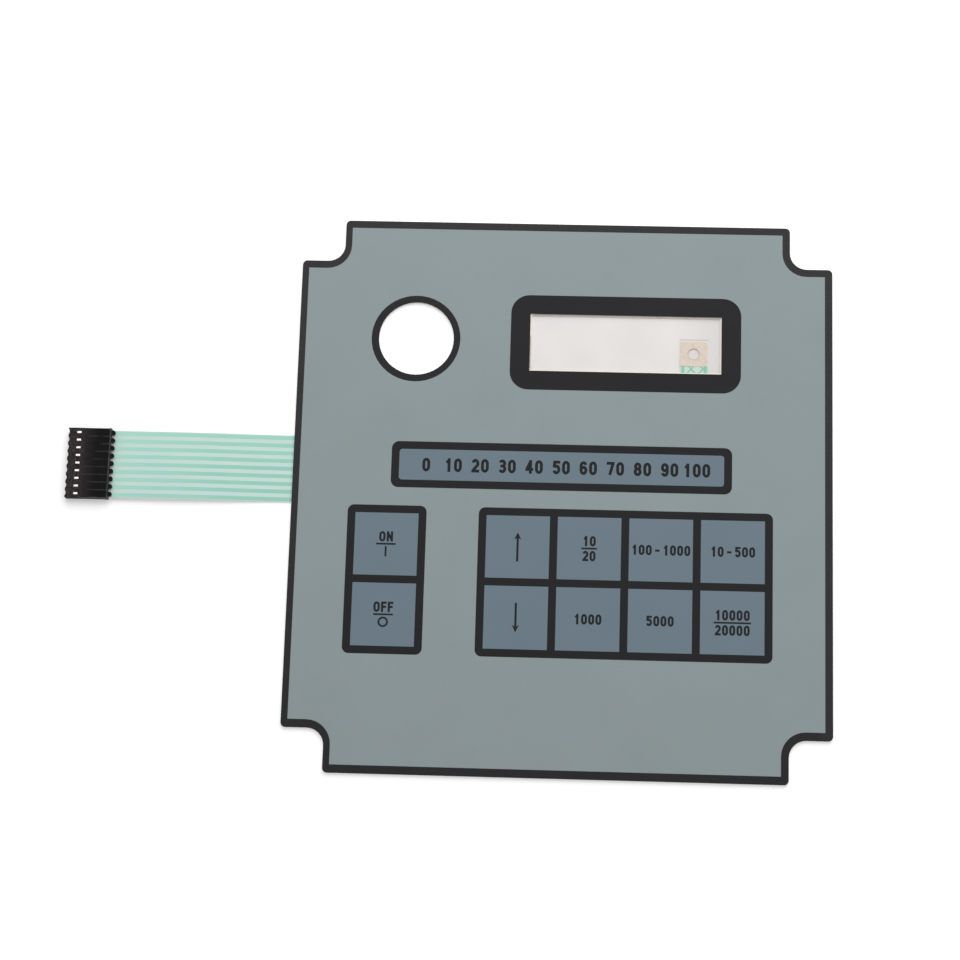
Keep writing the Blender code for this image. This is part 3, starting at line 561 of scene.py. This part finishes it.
def line_pieces(line, width):
    """Four-sided pieces that follow a line at one width. Level and upright ends reach half a width on."""
    ring = is_ring(line)
    points = [Vector(point) for point in (line[:-1] if ring else line)]
    count = len(points)
    sides = []
    for index, here in enumerate(points):
        first = index == 0 and not ring
        last = index == count - 1 and not ring
        after = here if last else points[(index + 1) % count]
        before = here if first else points[index - 1]
        incoming = (after - here).normalized() if first else (here - before).normalized()
        outgoing = incoming if last else (after - here).normalized()
        across = Vector((-incoming.y - outgoing.y, incoming.x + outgoing.x)).normalized()
        reach = width / 2 / across.dot(Vector((-incoming.y, incoming.x)))
        square_end = min(abs(incoming.x), abs(incoming.y)) < STRAIGHT_WITHIN
        if square_end and (first or last):
            here = here + incoming * (width / 2 if last else -width / 2)
        sides.append((here - across * reach, here + across * reach))
    pieces = []
    for index in range(count if ring else count - 1):
        near = sides[index]
        far = sides[(index + 1) % count]
        pieces.append([near[0], far[0], far[1], near[1]])
    return pieces


def letter_widths(text, height):
    return [LETTER_SHARES.get(letter, DIGIT_SHARE) * height for letter in text]


def word_width(text, height):
    return sum(letter_widths(text, height)) + LETTER_GAP_SHARE * height * (len(text) - 1)


def word_pieces(text, centre, height):
    """The pieces of a word in bold narrow letters, centred on a point."""
    strokes = letter_strokes()
    stroke_width = STROKE_SHARE * height
    left = centre[0] - word_width(text, height) / 2
    bottom = centre[1] - height / 2
    pieces = []
    for letter, width in zip(text, letter_widths(text, height)):
        for stroke in strokes[letter]:
            line = []
            for x, y in stroke:
                place_x = left + stroke_width / 2 + x * (width - stroke_width)
                place_y = bottom + stroke_width / 2 + y * (height - stroke_width)
                line.append((place_x, place_y))
            pieces += line_pieces(line, stroke_width)
        left += width + LETTER_GAP_SHARE * height
    return pieces


# Legends


def legend(name, pieces, material):
    """A thin printed shape: the union of flat pieces, laid on the ink."""
    corners = [Vector(corner) / MM for piece in pieces for corner in piece]
    faces = []
    first = 0
    for piece in pieces:
        faces.append(list(range(first, first + len(piece))))
        first += len(piece)
    places, _, triangles, _, _, sources = delaunay_2d_cdt(corners, [], faces, INSIDE_FACES, JOIN_WITHIN, True)
    body = bmesh.new()
    verts = [body.verts.new((place.x * MM, place.y * MM, INK_TOP)) for place in places]
    for triangle, source in zip(triangles, sources):
        if source:
            body.faces.new([verts[index] for index in triangle])
    bmesh.ops.delete(body, geom=[vert for vert in body.verts if not vert.link_faces], context="VERTS")
    bmesh.ops.recalc_face_normals(body, faces=body.faces[:])
    lifted = bmesh.ops.extrude_face_region(body, geom=body.faces[:])
    top = [item for item in lifted["geom"] if isinstance(item, bmesh.types.BMVert)]
    bmesh.ops.translate(body, verts=top, vec=(0, 0, LEGEND_THICKNESS))
    bmesh.ops.recalc_face_normals(body, faces=body.faces[:])
    mesh = bpy.data.meshes.new(name)
    body.to_mesh(mesh)
    body.free()
    mesh.materials.append(material)
    piece = bpy.data.objects.new(name, mesh)
    bpy.context.scene.collection.objects.link(piece)
    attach(piece, "root")


def key_centre(number):
    low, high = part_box(f"key_field_{number}")
    return (low.x + high.x) / 2, (low.y + high.y) / 2


def bar(x, y, length):
    """A level line of the given length."""
    half = (length - BAR_HEIGHT) / 2
    return line_pieces([(x - half, y), (x + half, y)], BAR_HEIGHT)


def arrow(name, number, way, material):
    """A thin arrow with a barbed head. The way is 1 for up and -1 for down."""
    x, y = key_centre(number)
    tip = y + way * ARROW_LENGTH / 2
    foot = y - way * ARROW_LENGTH / 2
    barb = tip - way * ARROW_HEAD_LENGTH
    notch = barb + way * ARROW_NOTCH
    half_head = ARROW_HEAD_WIDTH / 2
    half_line = ARROW_LINE / 2
    outline = [
        (x, tip),
        (x - way * half_head, barb),
        (x - way * half_line, notch),
        (x - way * half_line, foot),
        (x + way * half_line, foot),
        (x + way * half_line, notch),
        (x + way * half_head, barb),
    ]
    legend(name, [outline], material)


def switch_legends(material):
    """ON over an upright stroke, and OFF over a ring."""
    x, y = key_centre(ON_KEY)
    length = word_width("OFF", CAP_HEIGHT)
    legend("legend_on", word_pieces("ON", (x, y + STACK_OFFSET), CAP_HEIGHT), material)
    legend("legend_on_bar", bar(x, y, length), material)
    half = (CAP_HEIGHT - SYMBOL_LINE) / 2
    stroke = [(x, y - STACK_OFFSET - half), (x, y - STACK_OFFSET + half)]
    legend("legend_on_symbol", line_pieces(stroke, SYMBOL_LINE), material)
    x, y = key_centre(OFF_KEY)
    legend("legend_off", word_pieces("OFF", (x, y + STACK_OFFSET), CAP_HEIGHT), material)
    legend("legend_off_bar", bar(x, y, length), material)
    ring = bend(x, y - STACK_OFFSET, half, half, 0, 360, RING_STEPS)
    legend("legend_off_symbol", line_pieces(ring, SYMBOL_LINE), material)


def number_legends(material):
    """Plain numbers on the other keys: single, from one to another, or in pairs over and under a bar."""
    single = {4: "100 - 1000", 5: "10 - 500", 8: "1000", 9: "5000"}
    paired = {3: ("10", "20"), 10: ("10000", "20000")}
    for number, text in single.items():
        legend(f"legend_key_{number}", word_pieces(text, key_centre(number), CAP_HEIGHT), material)
    for number, pair in paired.items():
        x, y = key_centre(number)
        for text, side in zip(pair, (1, -1)):
            place = (x, y + side * STACK_OFFSET)
            legend(f"legend_{text}", word_pieces(text, place, CAP_HEIGHT), material)
        length = word_width(pair[0], CAP_HEIGHT) + BAR_OVERHANG
        legend(f"legend_bar_{number}", bar(x, y, length), material)


def title_scale(material):
    """A plain scale of numbers along the title strip."""
    low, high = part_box("print_title_field")
    middle = (low + high) / 2
    for value in range(0, SCALE_END + 1, SCALE_STEP):
        x = middle.x + (value / SCALE_END - 0.5) * SCALE_SPAN
        legend(f"scale_{value}", word_pieces(str(value), (x, middle.y), SCALE_CAP_HEIGHT), material)


def add_legends():
    ink = printed_ink("legend_ink", (27, 27, 29), 0.04)
    switch_legends(ink)
    arrow("legend_up_arrow", UP_KEY, 1, ink)
    arrow("legend_down_arrow", DOWN_KEY, -1, ink)
    number_legends(ink)
    title_scale(ink)


# Stage


def seen_directly(nodes, links):
    """1 for what the camera sees, straight, mirrored or through something clear, and 0 for other light."""
    path = nodes.new("ShaderNodeLightPath")
    seen = path.outputs["Is Camera Ray"]
    for ray in ("Is Glossy Ray", "Is Transmission Ray"):
        either = nodes.new("ShaderNodeMath")
        either.operation = "MAXIMUM"
        links.new(seen, either.inputs[0])
        links.new(path.outputs[ray], either.inputs[1])
        seen = either.outputs["Value"]
    return seen


def make_floor():
    """A white floor. What the camera sees of it is lifted, most of all far away, and the shadow is kept."""
    half = FLOOR_SIZE / 2
    mesh = bpy.data.meshes.new("floor")
    corners = [(-half, -half, 0), (half, -half, 0), (half, half, 0), (-half, half, 0)]
    mesh.from_pydata(corners, [], [(0, 1, 2, 3)])
    floor = bpy.data.objects.new("floor", mesh)
    floor.location.z = -FLOOR_DROP
    bpy.context.scene.collection.objects.link(floor)
    ground = Surface("floor")
    matt = ground.add("ShaderNodeBsdfDiffuse", Color=FLOOR_COLOUR)
    from_part = ground.distance(0.0, 0.0)
    lift = ground.spread(from_part, FLOOR_LIFT, FAR_FLOOR_LIFT, LIFT_GROWS_FROM, LIFT_GROWS_TO)
    seen = seen_directly(ground.nodes, ground.links)
    glow = ground.add("ShaderNodeEmission", Strength=ground.maths("MULTIPLY", seen, lift))
    both = ground.nodes.new("ShaderNodeAddShader")
    ground.put(matt.outputs["BSDF"], both.inputs[0])
    ground.put(glow.outputs["Emission"], both.inputs[1])
    ground.finish_with(both.outputs["Shader"])
    mesh.materials.append(ground.material)


def make_world():
    """Even light from all round. The camera sees it as white."""
    world = bpy.data.worlds.new("studio")
    world.use_nodes = True
    bpy.context.scene.world = world
    nodes = world.node_tree.nodes
    links = world.node_tree.links
    light = nodes["Background"]
    light.inputs["Color"].default_value = (1.0, 1.0, 1.0, 1.0)
    strength = nodes.new("ShaderNodeMapRange")
    strength.inputs["To Min"].default_value = AMBIENT
    strength.inputs["To Max"].default_value = 1.0
    links.new(seen_directly(nodes, links), strength.inputs["Value"])
    links.new(strength.outputs["Result"], light.inputs["Strength"])


def aimed(thing, place, target):
    thing.location = place
    thing.rotation_euler = (Vector(target) - Vector(place)).to_track_quat("-Z", "Y").to_euler()


def make_lights():
    """One broad soft light above the panel's far edge, as the photo's light falls off towards the keys."""
    data = bpy.data.lights.new("overhead", "AREA")
    data.shape = "SQUARE"
    data.size = OVERHEAD_SIZE
    data.energy = OVERHEAD_POWER
    lamp = bpy.data.objects.new("overhead", data)
    bpy.context.scene.collection.objects.link(lamp)
    aimed(lamp, OVERHEAD_PLACE, (0.0, 0.0, 0.0))


def make_camera():
    data = bpy.data.cameras.new("camera")
    data.lens = CAMERA_LENS
    data.clip_start = CAMERA_NEAREST
    camera = bpy.data.objects.new("camera", data)
    bpy.context.scene.collection.objects.link(camera)
    camera.location = CAMERA_PLACE
    camera.rotation_euler = [math.radians(angle) for angle in CAMERA_TURN]
    bpy.context.scene.camera = camera


make_camera()
make_world()
make_lights()
make_floor()
dress_nodes(material_of_node())
add_legends()

bpy.context.scene.view_settings.view_transform = "Standard"
